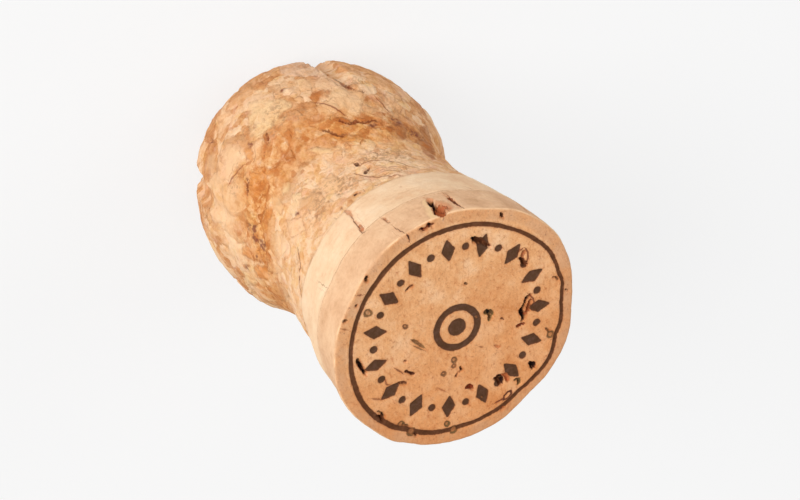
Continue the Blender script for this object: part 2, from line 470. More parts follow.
def wide_distance(points, path, halves):
    """Distance to a line that swells and tapers, negative inside it."""
    nearest = np.full(len(points), np.inf)
    for a, b, half_a, half_b in zip(path, path[1:], halves, halves[1:]):
        off, share = from_stretch(points, a, b)
        nearest = np.minimum(nearest, np.linalg.norm(off, axis=1) - half_a - (half_b - half_a) * share)
    return nearest


def thin_distance(points, normals, path, halves):
    """Distance to a thin line, negative on one side of it, and the line's half-width at the nearest place."""
    nearest = np.full(len(points), np.inf)
    signed = np.ones(len(points))
    half = np.zeros(len(points))
    for a, b, half_a, half_b in zip(path, path[1:], halves, halves[1:]):
        off, share = from_stretch(points, a, b)
        distance = np.linalg.norm(off, axis=1)
        side = np.sign(np.einsum("ij,ij->i", np.cross(b - a, off), normals))
        closer = distance < nearest
        signed = np.where(closer, distance * side, signed)
        half = np.where(closer, half_a + (half_b - half_a) * share, half)
        nearest = np.minimum(nearest, distance)
    return signed, half


def outline_distance(places, corners):
    """Distance to a closed outline in the plane, negative inside it."""
    nearest = np.full(len(places), np.inf)
    inside = np.zeros(len(places), bool)
    for a, b in zip(corners, np.roll(corners, -1, axis=0)):
        off, _ = from_stretch(places, a, b)
        nearest = np.minimum(nearest, np.linalg.norm(off, axis=1))
        spans = (a[1] > places[:, 1]) != (b[1] > places[:, 1])
        rise = (b - a)[1] or 1.0
        inside ^= spans & (places[:, 0] < a[0] + (places[:, 1] - a[1]) * (b - a)[0] / rise)
    return np.where(inside, -nearest, nearest)


class Marks:
    """What the pores, cracks and thin lines do at each point.

    A pore or crack keeps its depth, how near its edge is (negative inside), its hue and how dark it is.
    A thin line keeps the distance with a sign for its two sides, which stays exact between far-apart
    points, and its half-width, which is nought away from any line.
    """

    SOFT = 0.24
    AT_EDGE = 0.35
    WOBBLE = 0.30
    FAINT = 0.35
    THIN = 0.125
    LINE_REACH = 0.7
    SHOWN = ("near", "hue", "dark", "line", "line_half", "line_hue", "line_dark")

    def __init__(self, points, normals):
        self.points = points
        self.normals = normals
        self.depth, self.hue, self.line_half, self.line_hue, self.line_dark = np.zeros((5, len(points)))
        self.near, self.dark, self.line = np.ones((3, len(points)))
        self.ragged = noise(points, 0.45, 11) + 0.5 * noise(points, 0.2, 12)

    def cut(self, distance, depth, hue, half, dark):
        """Adds one wide mark over the earlier ones, with its edge made ragged in proportion to its width."""
        distance = distance + self.WOBBLE * half * self.ragged
        self.depth = np.maximum(self.depth, depth * ease(self.AT_EDGE - distance / self.SOFT))
        closer = (distance < self.near) | (distance < 0.0)
        self.hue = np.where(closer, hue, self.hue)
        self.dark = np.where(closer, dark, self.dark)
        self.near = np.minimum(self.near, distance)

    def draw(self, distance, half, hue, dark):
        """Adds one thin line from its signed distance."""
        off = np.abs(distance)
        closer = (off < np.abs(self.line)) & (off < self.LINE_REACH) & (half > 0.0)
        self.line = np.where(closer, distance, self.line)
        self.line_half = np.where(closer, half, self.line_half)
        self.line_hue = np.where(closer, hue, self.line_hue)
        self.line_dark = np.where(closer, dark, self.line_dark)

    def follow(self, path, halves, depth, hue):
        """Adds a mark along a path: a thin line, or a wide crack."""
        reach = max(halves) + 1.0
        within = (self.points > path.min(axis=0) - reach) & (self.points < path.max(axis=0) + reach)
        close = np.all(within, axis=1)
        dark = min(1.0, self.FAINT + depth)
        distance = np.ones(len(self.points))
        if max(halves) <= self.THIN:
            half = np.zeros(len(self.points))
            distance[close], half[close] = thin_distance(
                self.points[close], self.normals[close], path, halves)
            self.draw(distance, half, hue, dark)
        else:
            distance[close] = wide_distance(self.points[close], path, halves)
            self.cut(distance, depth, hue, max(halves), dark)

    def ring(self, x, y, radius, half, depth, hue):
        """Adds a ring-shaped pore in the foot face: a line with a shallow dip."""
        off = np.hypot(self.points[:, 0] - x, self.points[:, 1] - y) - radius
        line_half = np.full(len(self.points), half)
        self.draw(off + 0.8 * half * self.ragged, line_half, hue, min(1.0, self.FAINT + depth))
        self.cut(off, depth / 3, hue - 0.3, half, depth)

    def take(self, other, where):
        """Takes over another surface's marks at some of the points."""
        for name in self.SHOWN:
            setattr(self, name, np.where(where, getattr(other, name), getattr(self, name)))


def side_marks(points):
    outward = points * (1.0, 1.0, 0.0)
    marks = Marks(points, outward / np.maximum(np.linalg.norm(outward, axis=1), 0.001)[:, None])
    for hue, depth, *line in SIDE_CRACKS:
        path = np.array([on_side(turn, below) for turn, below, _ in line])
        marks.follow(path, [half for _, _, half in line], depth, hue)
    return marks


def face_marks(points):
    marks = Marks(points, np.tile((0.0, 0.0, 1.0), (len(points), 1)))
    for hue, depth, *line in FACE_PORES:
        path = np.array([(x, y, LENGTH) for x, y, _ in line])
        marks.follow(path, [half for _, _, half in line], depth, hue)
    for hue, depth, x, y, radius, half in RING_PORES:
        marks.ring(x, y, radius, half, depth, hue)
    return marks


def around(points, centre):
    """Distance and turn of each point about a centre on the face."""
    x = points[:, 0] - centre[0]
    y = points[:, 1] - centre[1]
    return np.hypot(x, y), np.degrees(np.arctan2(y, x))


def ring_distance(points):
    """Distance to the branded ring's line, which wanders and swells."""
    radius, turn = around(points, RING_AT)
    wander = bumps_at(turn, RING_BUMPS) + 0.06 * noise(points, 1.6, 81) + 0.03 * noise(points, 0.6, 82)
    half = RING_LINE_W / 2 * (0.97 + bumps_at(turn, RING_SWELL) + 0.10 * noise(points, 2.2, 83))
    return np.abs(radius - RING_R - wander) - half


def lozenge_distance(along, across):
    """Distance to a lozenge with rounded corners, negative inside it, from the offsets to its middle."""
    side = math.hypot(LOZENGE_L, LOZENGE_W)
    half_l = LOZENGE_L / 2 - LOZENGE_ROUND * side / LOZENGE_W
    half_w = LOZENGE_W / 2 - LOZENGE_ROUND * side / LOZENGE_L
    share = ((half_l - along) * half_l + across * half_w) / (half_l ** 2 + half_w ** 2)
    share = np.clip(share, 0.0, 1.0)
    to_side = np.hypot(along - half_l * (1.0 - share), across - half_w * share)
    return np.where(along / half_l + across / half_w < 1.0, -to_side, to_side) - LOZENGE_ROUND


def motif_distance(points):
    """Distance to the branded motifs, negative inside them."""
    radius, turn = around(points + 0.05 * noise(points, 1.2, 84)[:, None], BRAND_AT)
    pitch = 360.0 / LOZENGES
    off_lozenge = np.radians((turn + pitch / 2) % pitch - pitch / 2)
    off_dot = np.radians(turn % pitch - pitch / 2)
    along = np.abs(radius * np.cos(off_lozenge) - BAND_R)
    across = np.abs(radius * np.sin(off_lozenge))
    dot = np.hypot(radius * np.cos(off_dot) - BAND_R, radius * np.sin(off_dot)) - DOT_D / 2
    middle_ring = np.abs(radius - MOTIF_R) - MOTIF_LINE_W / 2
    middle_dot = radius - MOTIF_DOT_D / 2
    return np.min([middle_ring, middle_dot, lozenge_distance(along, across), dot], axis=0)


# ---------------------------------------------------------------- turned and pressed shapes
def turned(outline, turns):
    """Points and faces of a closed turned form; the outline starts and ends on the axis."""
    angles = np.arange(turns) * 2.0 * math.pi / turns
    rings = np.array(outline[1:-1])
    points = np.stack([
        np.outer(rings[:, 0], np.cos(angles)),
        np.outer(rings[:, 0], np.sin(angles)),
        np.outer(rings[:, 1], np.ones(turns)),
    ], axis=-1).reshape(-1, 3)
    points = np.vstack([[(0.0, 0.0, outline[0][1])], points, [(0.0, 0.0, outline[-1][1])]])
    here = np.arange(turns)
    after = (here + 1) % turns
    faces = [(0, 1 + int(b), 1 + int(a)) for a, b in zip(here, after)]
    for ring in range(len(rings) - 1):
        low = 1 + ring * turns
        high = low + turns
        faces += np.stack([low + here, low + after, high + after, high + here], axis=1).tolist()
    low = 1 + (len(rings) - 1) * turns
    faces += [(low + int(a), low + int(b), len(points) - 1) for a, b in zip(here, after)]
    return points, faces


def out_of_round(points):
    """Presses the foot out of round and moves it off the axis, more and more from the waist up."""
    turn = turn_of(points)
    angle = np.radians(turn)
    share = ease((points[:, 2] - WAIST_H) / (LENGTH - WAIST_H))
    shift = FOOT_AT[0] * np.cos(angle) + FOOT_AT[1] * np.sin(angle) + bumps_at(turn, FOOT_BUMPS)
    return scaled_across(points, 1.0 + share * shift / cork_radius(points[:, 2]))


def swell(points):
    """Swells and hollows the side softly, as corks bulge between wires and stay pinched where squeezed."""
    turn = turn_of(points)
    out = np.zeros(len(points))
    for centre, height, half_width, half_height, size in SIDE_SWELLS:
        across = turn_between(turn, centre) / half_width
        up = (points[:, 2] - height) / half_height
        out += size * np.exp(-across ** 4 - up ** 4)
    return scaled_across(points, 1.0 + out / cork_radius(points[:, 2]))


def circle_centre(a, b, c):
    """Centre of the circle through three points of the plane."""
    d = 2.0 * (a[0] * (b[1] - c[1]) + b[0] * (c[1] - a[1]) + c[0] * (a[1] - b[1]))
    aa, bb, cc = (p[0] ** 2 + p[1] ** 2 for p in (a, b, c))
    return np.array([
        (aa * (b[1] - c[1]) + bb * (c[1] - a[1]) + cc * (a[1] - b[1])) / d,
        (aa * (c[0] - b[0]) + bb * (a[0] - c[0]) + cc * (b[0] - a[0])) / d,
    ])


def press_wires(points):
    """Presses the four wire legs into the head, as bent rods that lift off above the bulge."""
    low = (float(cork_radius(SHOULDER_H)) - SHOULDER_DEPTH, SHOULDER_H)
    middle = (HEAD_R - WIRE_DEPTH, HEAD_H)
    top = (float(cork_radius(WIRE_TOP)), WIRE_TOP)
    centre = circle_centre(low, middle, top)
    bend = math.dist(middle, centre)
    for turn in WIRE_TURNS:
        out = np.array([math.cos(math.radians(turn)), math.sin(math.radians(turn))])
        side = np.array([-out[1], out[0]])
        u = points[:, :2] @ out
        v = points[:, :2] @ side
        off = np.stack([u - centre[0], points[:, 2] - centre[1]], axis=1)
        reach = np.linalg.norm(off, axis=1)
        floor = bend + (v + WIRE_WANDER * noise(points, 3.0, turn)) ** 2 / (2.0 * WIRE_R)
        depth = np.clip((reach - floor) / WIRE_SOFT, -1.0, None)
        pressed = np.where(depth > 1.0, reach - floor, WIRE_SOFT * (depth + 1.0) ** 2 / 4.0)
        pressed = np.where((u > 0.0) & (points[:, 2] > 0.0), pressed, 0.0)
        pressed *= 1.0 - ease((points[:, 2] - WIRE_TOP + WIRE_FADE / 2) / WIRE_FADE)
        keep = 1.0 - pressed / np.maximum(reach, 1.0)
        moved = centre + off * keep[:, None]
        height = np.maximum(moved[:, 1], 0.0)
        points = np.column_stack([np.outer(moved[:, 0], out) + np.outer(v, side), height])
    return points


def shrink_side(points, marks):
    """Sinks the side's marks towards the axis, and draws the caps' rims in with them."""
    radius = np.hypot(points[:, 0], points[:, 1])
    return scaled_across(points, 1.0 - marks.depth / np.maximum(radius, 1.0))


# ---------------------------------------------------------------- stains and flakes
def stain_amounts(points):
    """How strongly each kind of stain colours each point, from 0 to 1."""
    ragged = 0.45 * noise(points, 1.3, 21) + 0.25 * noise(points, 0.5, 22)
    amounts = {}
    for kind, stains in STAINS.items():
        amounts[kind] = np.zeros(len(points))
        for turn, below, radius in stains:
            off = np.linalg.norm(points - on_side(turn, below), axis=1) / radius
            amounts[kind] = np.maximum(amounts[kind], ease((1.25 - off + ragged) / STAIN_FADE))
    return amounts


def flake_tints(points):
    """Colour of the big flakes at each point, how surely it is on one, and the way to the nearest edge."""
    places = np.column_stack([np.radians(turn_of(points) % 360.0) * WAIST_R, LENGTH - points[:, 2]])
    ragged = 0.16 * noise(points, 0.7, 41) + 0.10 * noise(points, 0.35, 42)
    tints = np.zeros((len(points), 4))
    edge = np.ones(len(points))
    for tint, *outline in FLAKES:
        corners = np.array([(math.radians(turn) * WAIST_R, below) for turn, below in outline])
        close = np.all((places > corners.min(axis=0) - 1.0) & (places < corners.max(axis=0) + 1.0), axis=1)
        distance = outline_distance(places[close], corners) + ragged[close]
        share = ease(0.5 - distance / FLAKE_FADE)[:, None]
        tints[close] = tints[close] * (1.0 - share) + np.array(shade(*FLAKE_TINTS[tint])) * share
        edge[close] = np.where(distance < FLAKE_NEAR, distance, edge[close])
    cover = np.maximum(tints[:, 3:], 0.001)
    return np.column_stack([tints[:, :3] / cover, tints[:, 3]]), edge


def waist_band(points):
    """The orange-brown stain round the crease under the head, which dips on the far sides."""
    off = np.abs(turn_between(turn_of(points), BAND_TURN))
    dip = BAND_DIP * ease((off - BAND_DIP_FROM) / BAND_DIP_OVER)
    middle = BAND_BELOW - dip + 0.7 * noise(points, 3.5, 31)
    across = np.exp(-np.abs((LENGTH - points[:, 2] - middle) / BAND_HALF) ** 2.5)
    strength = blend(BAND_NEAR, BAND_FAR, (off - 25.0) / 30.0) + 0.25 * noise(points, 6.0, 33)
    return np.clip(across * strength, 0.0, 1.0)


def neck_share(points):
    """1 on the neck, which the bottle squeezed, and 0 on the head; their border dips on the far sides."""
    off = np.abs(turn_between(turn_of(points), NECK_TURN))
    dip = NECK_DIP * ease((off - NECK_DIP_FROM) / NECK_DIP_OVER)
    border = NECK_END - dip + 1.1 * noise(points, 3.0, 32)
    return ease((border - (LENGTH - points[:, 2])) / NECK_FADE + 0.5)


# ---------------------------------------------------------------- node trees
class Field:
    """A node's result. It adds, subtracts and multiplies as a number does, and takes tints as a colour."""

    def __init__(self, nodes, socket):
        self.nodes = nodes
        self.socket = socket

    def __add__(self, other):
        return self.nodes.math("ADD", self, other)

    def __sub__(self, other):
        return self.nodes.math("SUBTRACT", self, other)

    def __rsub__(self, other):
        return self.nodes.math("SUBTRACT", other, self)

    def __mul__(self, other):
        return self.nodes.math("MULTIPLY", self, other)

    def __abs__(self):
        return self.nodes.math("ABSOLUTE", self)

    def eased(self, low, high):
        """0 where this is low and 1 where it is high, eased between them."""
        inputs = {"Value": self, "From Min": low, "From Max": high}
        return self.nodes.one("ShaderNodeMapRange", inputs, interpolation_type="SMOOTHSTEP")

    def between(self, a, b):
        """A number that goes from a to b as this goes from 0 to 1."""
        return self.nodes.one("ShaderNodeMix", {0: self, 2: a, 3: b}, clamp_factor=True)

    def ramp(self, *stops):
        """The colour at this place of a ramp, whose stops are (place, red, green, blue)."""
        node = self.nodes.add("ShaderNodeValToRGB", {0: self})
        elements = node.color_ramp.elements
        while len(elements) < len(stops):
            elements.new(1.0)
        for element, (place, *colour) in zip(elements, stops):
            element.position = place
            element.color = shade(*colour)
        return Field(self.nodes, node.outputs[0])

    def lay(self, tint, share, way="MIX"):
        """This colour with a share of a tint laid over it."""
        over = tint if isinstance(tint, Field) else shade(*tint)
        return self.nodes.one(
            "ShaderNodeMix", {0: share, 6: self, 7: over}, 2,
            data_type="RGBA", blend_type=way, clamp_factor=True)


class Nodes:
    """Adds nodes to one tree. Inputs are fields or plain values."""

    def __init__(self, tree):
        self.tree = tree

    def add(self, kind, inputs, **settings):
        node = self.tree.nodes.new(kind)
        for name, value in settings.items():
            setattr(node, name, value)
        for key, value in inputs.items():
            if isinstance(value, Field):
                self.tree.links.new(value.socket, node.inputs[key])
            else:
                node.inputs[key].default_value = value
        return node

    def one(self, kind, inputs, output=0, **settings):
        """One output of a new node."""
        return Field(self, self.add(kind, inputs, **settings).outputs[output])

    def math(self, operation, a, b=0.0):
        return self.one("ShaderNodeMath", {0: a, 1: b}, operation=operation)

    def vector(self, operation, a, b=(0.0, 0.0, 0.0), output=0):
        return self.one("ShaderNodeVectorMath", {0: a, 1: b}, output, operation=operation)

    def scaled(self, vector, scale):
        return self.one("ShaderNodeVectorMath", {0: vector, "Scale": scale}, operation="SCALE")

    def rotated(self, vector, axis, angle):
        return self.one("ShaderNodeVectorRotate", {"Vector": vector, "Axis": axis, "Angle": angle})

    def parts(self, vector):
        return [Field(self, part) for part in self.add("ShaderNodeSeparateXYZ", {0: vector}).outputs]

    def attribute(self, name, output="Fac"):
        return self.one("ShaderNodeAttribute", {}, output, attribute_name=name)

    def noise(self, at, size, seed=0.0, detail=2.0, roughness=0.5):
        """Noise from 0 to 1, whose lumps are about a size across."""
        scale = self.math("DIVIDE", 1.0, size) if isinstance(size, Field) else 1.0 / size
        inputs = {"Vector": at, "W": seed, "Scale": scale, "Detail": detail, "Roughness": roughness}
        return self.one("ShaderNodeTexNoise", inputs, noise_dimensions="4D")

    def push(self, at, size, seed, distance):
        """The place, pushed about by noise."""
        inputs = {"Vector": at, "W": seed, "Scale": 1.0 / size, "Detail": 1.0}
        colour = self.one("ShaderNodeTexNoise", inputs, 1, noise_dimensions="4D")
        way = self.vector("SUBTRACT", colour, (0.5, 0.5, 0.5))
        return self.vector("ADD", at, self.scaled(way, 2.0 * distance))

    def cells(self, at, size):
        """Random numbers of each cell about a size across, and the distance to the cell's edge."""
        inputs = {"Vector": at, "Scale": 1.0 / size}
        colour = self.one("ShaderNodeTexVoronoi", inputs, "Color", feature="F1")
        edge = self.one("ShaderNodeTexVoronoi", inputs, "Distance", feature="DISTANCE_TO_EDGE")
        return self.parts(colour), edge * size


def granules(nodes, at, neck):
    """The cork granules at a place: big ones, nests of small ones between them, and finer ones in the neck.

    Returns a granule's tint, its standing height, and the distance to its edge.
    """
    pushed = nodes.push(nodes.push(at, 5.0, 1.0, 1.2), 1.3, 2.0, 0.42)
    ragged = nodes.push(pushed, 0.5, 3.0, 0.17)
    big, big_edge = nodes.cells(ragged, 4.0)
    small, small_edge = nodes.cells(ragged, 1.5)
    nest = nodes.math("MAXIMUM", big[2].eased(0.40, 0.42), neck)
    tint = nest.between(big[0], small[0])
    height = nest.between(big[1], small[1])
    edge = nest.between(big_edge, nodes.math("MINIMUM", small_edge, big_edge + neck))
    return tint, height, edge


DISC_RELIEF = {
    "Granule step": 0.0, "Crevice depth": 0.0, "Crevice width": 0.4, "Lump depth": 0.0, "Lump size": 3.0,
    "Dent depth": 0.10, "Dent size": 1.8, "Seed": 7,
}
BODY_RELIEF = dict(DISC_RELIEF, **{"Granule step": 0.10, "Crevice depth": 0.16, "Lump depth": 0.16})
SOCKET_KINDS = {"Geometry": "Geometry", "Seed": "Int", "Cork": "Material"}


def relief_tree():
    """The tree that presses granules, crevices and lumps into a piece."""
    tree = bpy.data.node_groups.new("cork relief", "GeometryNodeTree")
    tree.is_modifier = True
    for name in ("Geometry", *DISC_RELIEF, "Cork"):
        kind = SOCKET_KINDS.get(name, "Float")
        tree.interface.new_socket(name, in_out="INPUT", socket_type="NodeSocket" + kind)
    tree.interface.new_socket("Geometry", in_out="OUTPUT", socket_type="NodeSocketGeometry")
    nodes = Nodes(tree)
    given = {socket.name: Field(nodes, socket) for socket in nodes.add("NodeGroupInput", {}).outputs}
    at, weight, neck = [
        nodes.one("GeometryNodeInputNamedAttribute", {"Name": name}, data_type=kind)
        for name, kind in (("rest", "FLOAT_VECTOR"), ("relief", "FLOAT"), ("neck", "FLOAT"))
    ]
    _, height, edge = granules(nodes, at, neck)
    crevice = 1.0 - edge.eased(0.0, given["Crevice width"])
    patchy = nodes.noise(at, 2.2, 5.0).eased(0.35, 0.6)
    lump = nodes.noise(at, given["Lump size"], given["Seed"]).eased(0.75, 0.25)
    dent = nodes.noise(at, given["Dent size"], given["Seed"] + 10.0).eased(0.75, 0.25)
    sunk = given["Granule step"] * height + given["Crevice depth"] * crevice * patchy
    sunk += given["Lump depth"] * lump
    # The dents are alike in all pieces, so they run on over the seams, where nothing else is sunk.
    depth = sunk * weight + given["Dent depth"] * dent
    sideways = nodes.one("ShaderNodeCombineXYZ", {0: 1.0, 1: 1.0, 2: weight})
    normal = nodes.one("GeometryNodeInputNormal", {})
    inward = nodes.vector("NORMALIZE", nodes.vector("MULTIPLY", normal, sideways))
    offset = nodes.scaled(inward, depth * -MM)
    moved = nodes.one("GeometryNodeSetPosition", {"Geometry": given["Geometry"], "Offset": offset})
    whole = nodes.one("GeometryNodeRealizeInstances", {"Geometry": moved})
    dressed = nodes.one("GeometryNodeSetMaterial", {"Geometry": whole, "Material": given["Cork"]})
    nodes.add("NodeGroupOutput", {"Geometry": dressed})
    return tree


# ---------------------------------------------------------------- materials
OCHRE = (222, 156, 98)
BARK = (126, 66, 48)
RUST = (196, 104, 46)
GRAIN_TURN = 53.9
WHITE = (1.0, 1.0, 1.0, 1.0)


def paint_pores(nodes, colour, at):
    """Colours the marks: a rim and a core of their own hue, and thin lines."""
    speckle = nodes.noise(at, 0.25, 41.0)
    patch = nodes.noise(at, 0.7, 42.0)
    near = nodes.attribute("pore")
    near += (nodes.noise(at, 0.32, 43.0) - 0.5) * 0.28 * near.eased(0.3, 0.1)
    dark = nodes.attribute("pore_dark")
    hue = nodes.attribute("pore_hue") * 0.5 + 0.5
    rim = hue.ramp((0.0, 128, 112, 58), (0.45, 84, 42, 26), (1.0, 112, 52, 30))
    rim = rim.lay(OCHRE, patch.eased(0.45, 0.58) * 0.6)
    core = hue.ramp(
        (0.0, 66, 60, 32), (0.38, 28, 14, 8), (0.56, 42, 14, 8), (0.78, 138, 58, 26), (1.0, 200, 110, 62))
    core = core.lay(OCHRE, speckle.eased(0.58, 0.68) * 0.4)
    halo = near.eased(0.28, 0.0) * patch.eased(0.40, 0.62)
    colour = colour.lay(RUST, halo * dark * 0.55)
    colour = colour.lay(rim.lay(core, near.eased(0.0, -0.09)), near.eased(0.03, -0.03) * dark)
    half = nodes.attribute("line_half")
    drawn = half.eased(0.0, 0.04)
    over = abs(nodes.attribute("line")) - half + (speckle - 0.5) * 0.2
    ink = nodes.attribute("line_hue") * 0.5 + 0.5
    ink = ink.ramp((0.0, 104, 92, 48), (0.45, 74, 44, 30), (1.0, 160, 78, 44))
    colour = colour.lay(RUST, over.eased(0.22, 0.0) * drawn * 0.30)
    return colour.lay(ink, over.eased(0.05, -0.04) * drawn * nodes.attribute("line_dark"))


def surface(nodes, colour, height, roughness):
    """The matt cork finish: colour, and bumps whose height is in millimetres."""
    bump = nodes.one("ShaderNodeBump", {"Height": height, "Distance": MM, "Strength": 1.0})
    shader = nodes.one("ShaderNodeBsdfPrincipled", {
        "Base Color": colour, "Normal": bump, "Roughness": roughness, "Specular IOR Level": 0.25})
    nodes.add("ShaderNodeOutputMaterial", {"Surface": shader})


def new_material(name):
    material = bpy.data.materials.new(name)
    material.use_nodes = True
    material.node_tree.nodes.clear()
    return material, Nodes(material.node_tree)


def granulated_cork():
    """Glued granules from cream to brown, with dark bark flecks and stained crevices."""
    material, nodes = new_material("granulated cork")
    at = nodes.attribute("rest", "Vector")
    neck = nodes.attribute("neck")
    tint, height, edge = granules(nodes, at, neck)
    wide = nodes.noise(at, 4.5, 50.0, 3.0)
    mottle = nodes.noise(at, 1.1, 53.0, 5.0, 0.68)
    crumbs = nodes.noise(at, 0.34, 56.0, 3.0, 0.6)
    # Grain lines inside a granule, turned a different way in each.
    along = nodes.rotated(at, (0.6, 0.5, 0.62), height * 6.3)
    grain = nodes.noise(nodes.vector("MULTIPLY", along, (1.0, 5.0, 1.4)), 0.9, 52.0, 3.0)
    tone = tint * neck.between(0.34, 0.20) + wide * 0.36 + mottle * 0.72
    tone += crumbs * neck.between(0.22, 0.30) + grain * 0.15 + neck * 0.12
    colour = (tone * 0.6).ramp(
        (0.34, 180, 110, 60), (0.46, 216, 153, 100), (0.54, 236, 182, 132), (0.62, 245, 201, 158),
        (0.74, 250, 215, 176))
    # Some places are yellower and some pinker.
    tinge = nodes.noise(nodes.push(at, 1.2, 83.0, 0.5), 1.7, 82.0, 3.0, 0.65)
    colour = colour.lay((248, 242, 206), tinge.eased(0.48, 0.36) * 0.55, "MULTIPLY")
    colour = colour.lay((236, 182, 152), tinge.eased(0.54, 0.66) * 0.40)
    # The big flakes keep a little of the crumbly texture under their own tint.
    flake = nodes.attribute("flake", "Color")
    on_flake = nodes.attribute("flake", "Alpha")
    flake_edge = nodes.attribute("flake_edge")
    colour = colour.lay(flake.lay(colour, mottle.eased(0.62, 0.40) * 0.5), on_flake * 0.85)
    flake_rim = abs(flake_edge).eased(0.20, 0.0) * mottle.eased(0.44, 0.60)
    colour = colour.lay((184, 112, 62), flake_rim * 0.50)
    edge += on_flake * 0.5
    # Only some borders between granules show as thin brown lines.
    patchy = nodes.noise(at, 1.8, 5.0, 3.0).eased(0.46, 0.70)
    crack = edge.eased(neck.between(0.20, 0.11), 0.0) * patchy
    colour = colour.lay((180, 114, 68), crack * neck.between(0.42, 0.30))
    # Small dark crumbs of bark, in loose swarms.
    bits, bits_edge = nodes.cells(nodes.push(at, 0.7, 57.0, 0.2), 0.75)
    swarm = nodes.noise(at, 2.6, 58.0).eased(0.50, 0.64)
    bark_bits = bits[0].eased(0.80, 0.84) * swarm * bits_edge.eased(0.0, 0.1)
    colour = colour.lay((190, 122, 74), bark_bits * 0.6)
    colour = colour.lay((245, 203, 158), nodes.attribute("pale") * 0.45)
    # The band and the rusty places are stained most where the cork is open.
    band = nodes.attribute("band")
    wet = nodes.noise(at, 1.5, 54.0, 5.0, 0.75) + crack * 0.4 + bark_bits * 0.3
    spots = nodes.noise(at, 0.8, 60.0, 4.0, 0.65)
    colour = colour.lay((243, 217, 166), band * wet.eased(0.34, 0.52) * 0.9, "MULTIPLY")
    colour = colour.lay((204, 122, 60), band * wet.eased(0.50, 0.60) * 0.60)
    colour = colour.lay((172, 96, 46), band * spots.eased(0.58, 0.66) * 0.60)
    colour = colour.lay((192, 112, 52), nodes.attribute("rust") * wet.eased(0.44, 0.62) * 0.70)
    flecks = nodes.noise(at, 0.4, 55.0, 3.0, 0.6).eased(0.46, 0.60)
    colour = colour.lay((176, 130, 92), nodes.attribute("grey") * flecks * 0.6)
    bark = nodes.attribute("bark") * nodes.noise(at, 0.5, 59.0).eased(0.36, 0.60)
    colour = paint_pores(nodes, colour.lay(BARK, bark * 0.85), at)
    raised = flake_edge.eased(0.15, -0.45) * on_flake
    lips = edge.eased(0.0, 0.14) * patchy
    bumps = crumbs * 0.14 + grain * 0.06 + mottle * 0.12 + raised * 0.12 + lips * 0.10
    surface(nodes, colour, bumps, 0.85)
    return material


def natural_disc(name, dark, middle, pale):
    """Punched natural cork: soft bands of growth rings with pale and darker patches."""
    material, nodes = new_material(name)
    at = nodes.attribute("rest", "Vector")
    patches = nodes.noise(nodes.push(at, 3.0, 61.0, 0.8), 3.0, 62.0, 4.0, 0.6)
    rings = nodes.noise(nodes.vector("MULTIPLY", at, (0.35, 0.35, 2.4)), 1.1, 63.0, 3.0)
    mottle = nodes.noise(at, 0.45, 64.0, 4.0, 0.7)
    share = patches * 0.62 + rings * 0.10 + mottle * 0.28
    colour = share.ramp((0.36, *dark), (0.5, *middle), (0.62, *pale))
    colour = colour.lay(OCHRE, mottle.eased(0.60, 0.78) * 0.35)
    colour = colour.lay(nodes.attribute("flake", "Color"), nodes.attribute("flake", "Alpha") * 0.8)
    return material, nodes, at, paint_pores(nodes, colour, at), mottle, rings


def pale_natural_cork():
    """The inner disc, a little darker next to the end disc."""
    material, nodes, at, colour, mottle, rings = natural_disc(
        "pale natural cork", (236, 188, 145), (246, 207, 166), (252, 219, 182))
    below = END_Z - nodes.parts(at)[2]
    colour = colour.lay((234, 187, 145), below.eased(0.8, 0.0) * mottle.eased(0.35, 0.6) * 0.35)
    surface(nodes, colour, mottle * 0.07 + rings * 0.08, 0.85)
    return material


